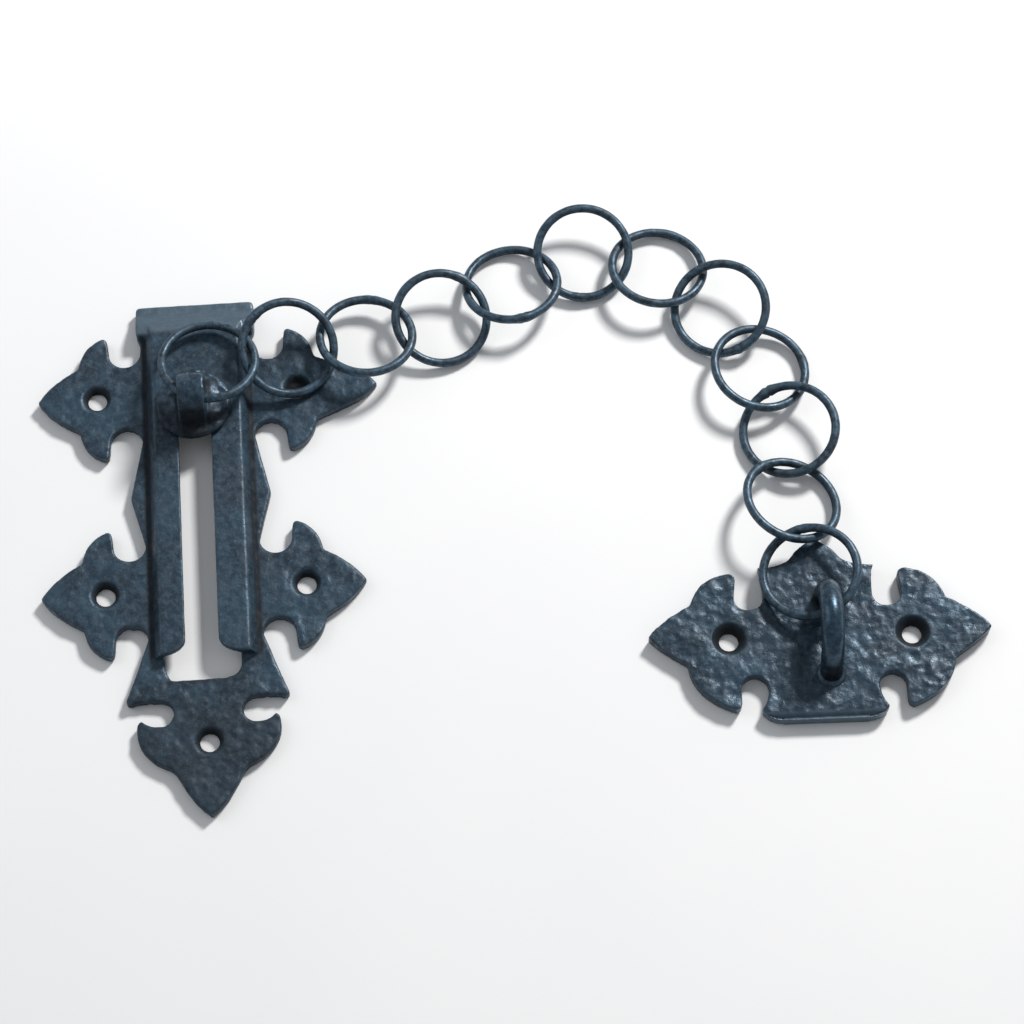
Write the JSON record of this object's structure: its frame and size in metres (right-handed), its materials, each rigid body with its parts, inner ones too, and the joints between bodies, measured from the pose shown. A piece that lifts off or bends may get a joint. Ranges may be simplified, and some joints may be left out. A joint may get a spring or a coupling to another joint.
{
  "type": "door security chain",
  "caption": "Cast-iron door security chain laid flat: slotted fleur-de-lis track plate, sliding eye stud, round-ring chain and keeper plate with a staple.",
  "frame": {"origin": "centre of the whole layout, on the surface that the two plates' flat backs lie on", "axes": "+X from the track plate to the keeper plate, +Y up the slot towards the channel's sloped end, +Z out of the plates"},
  "size_m": [0.2429, 0.1642, 0.0196],
  "materials": {
    "plates": "satin blue-black, softly mottled casting",
    "worn_iron": "satin blue-black, rubbed brighter on the edges"
  },
  "bodies": {
    "track": {"track_plate": "plates"},
    "slider": {"slider_stud": "worn_iron"},
    "ring_01": {"ring_01": "worn_iron"},
    "ring_02": {"ring_02": "worn_iron"},
    "ring_03": {"ring_03": "worn_iron"},
    "ring_04": {"ring_04": "worn_iron"},
    "ring_05": {"ring_05": "worn_iron"},
    "ring_06": {"ring_06": "worn_iron"},
    "ring_07": {"ring_07": "worn_iron"},
    "ring_08": {"ring_08": "worn_iron"},
    "ring_09": {"ring_09": "worn_iron"},
    "ring_10": {"ring_10": "worn_iron"},
    "ring_11": {"ring_11": "worn_iron"},
    "ring_12": {"ring_12": "worn_iron"},
    "keeper": {"keeper_plate": "plates", "staple": "worn_iron"}
  },
  "joints": [
    {"name": "slider_slide", "type": "slide", "parent": "track", "child": "slider", "axis": [0, -1, 0], "range_m": [0, 0.068]},
    {"name": "ring_01_lift", "type": "hinge", "parent": "slider", "child": "ring_01", "pos_m": [-0.08025, 0.0299, 0.014], "axis": [1, 0, 0], "range_deg": [0, 70]},
    {"name": "ring_02_swing", "type": "hinge", "parent": "ring_01", "child": "ring_02", "pos_m": [-0.07568, 0.04014, 0.01153], "axis": [0.044, 0.2009, 0.9786], "range_deg": [-20, 0]},
    {"name": "ring_03_fold", "type": "hinge", "parent": "ring_02", "child": "ring_03", "pos_m": [-0.04452, 0.04565, 0.00734], "axis": [0.1296, -0.9881, -0.0827], "range_deg": [0, 15]},
    {"name": "ring_04_swing", "type": "hinge", "parent": "ring_03", "child": "ring_04", "pos_m": [-0.03415, 0.04728, 0.00666], "axis": [-0.04, -0.1869, -0.9816], "range_deg": [0, 20]},
    {"name": "ring_05_fold", "type": "hinge", "parent": "ring_04", "child": "ring_05", "pos_m": [-0.00439, 0.05677, 0.00481], "axis": [0.4271, -0.9037, -0.0314], "range_deg": [0, 20]},
    {"name": "ring_06_swing", "type": "hinge", "parent": "ring_05", "child": "ring_06", "pos_m": [0.00534, 0.06118, 0.00431], "axis": [-0.053, 0.229, 0.972], "range_deg": [-20, 0]},
    {"name": "ring_07_fold", "type": "hinge", "parent": "ring_06", "child": "ring_07", "pos_m": [0.03486, 0.06661, 0.00405], "axis": [-0.2827, -0.959, -0.022], "range_deg": [0, 20]},
    {"name": "ring_08_swing", "type": "hinge", "parent": "ring_07", "child": "ring_08", "pos_m": [0.04464, 0.06368, 0.00399], "axis": [-0.082, -0.192, -0.978], "range_deg": [0, 20]},
    {"name": "ring_09_fold", "type": "hinge", "parent": "ring_08", "child": "ring_09", "pos_m": [0.06465, 0.04106, 0.00391], "axis": [-0.9049, -0.4241, -0.0354], "range_deg": [0, 20]},
    {"name": "ring_10_swing", "type": "hinge", "parent": "ring_09", "child": "ring_10", "pos_m": [0.06904, 0.03202, 0.00415], "axis": [0.1769, 0.096, 0.9795], "range_deg": [-20, 0]},
    {"name": "ring_11_fold", "type": "hinge", "parent": "ring_10", "child": "ring_11", "pos_m": [0.07415, 0.00299, 0.00325], "axis": [-0.9923, 0.1227, 0.0183], "range_deg": [0, 20]},
    {"name": "ring_12_swing", "type": "hinge", "parent": "ring_11", "child": "ring_12", "pos_m": [0.07346, -0.0073, 0.00567], "axis": [-0.276, -0.191, -0.942], "range_deg": [0, 20]},
    {"name": "keeper_hinge", "type": "hinge", "parent": "ring_12", "child": "keeper", "pos_m": [0.07923, -0.04017, 0.00882], "axis": [-1, 0, 0], "range_deg": [0, 50]}
  ]
}
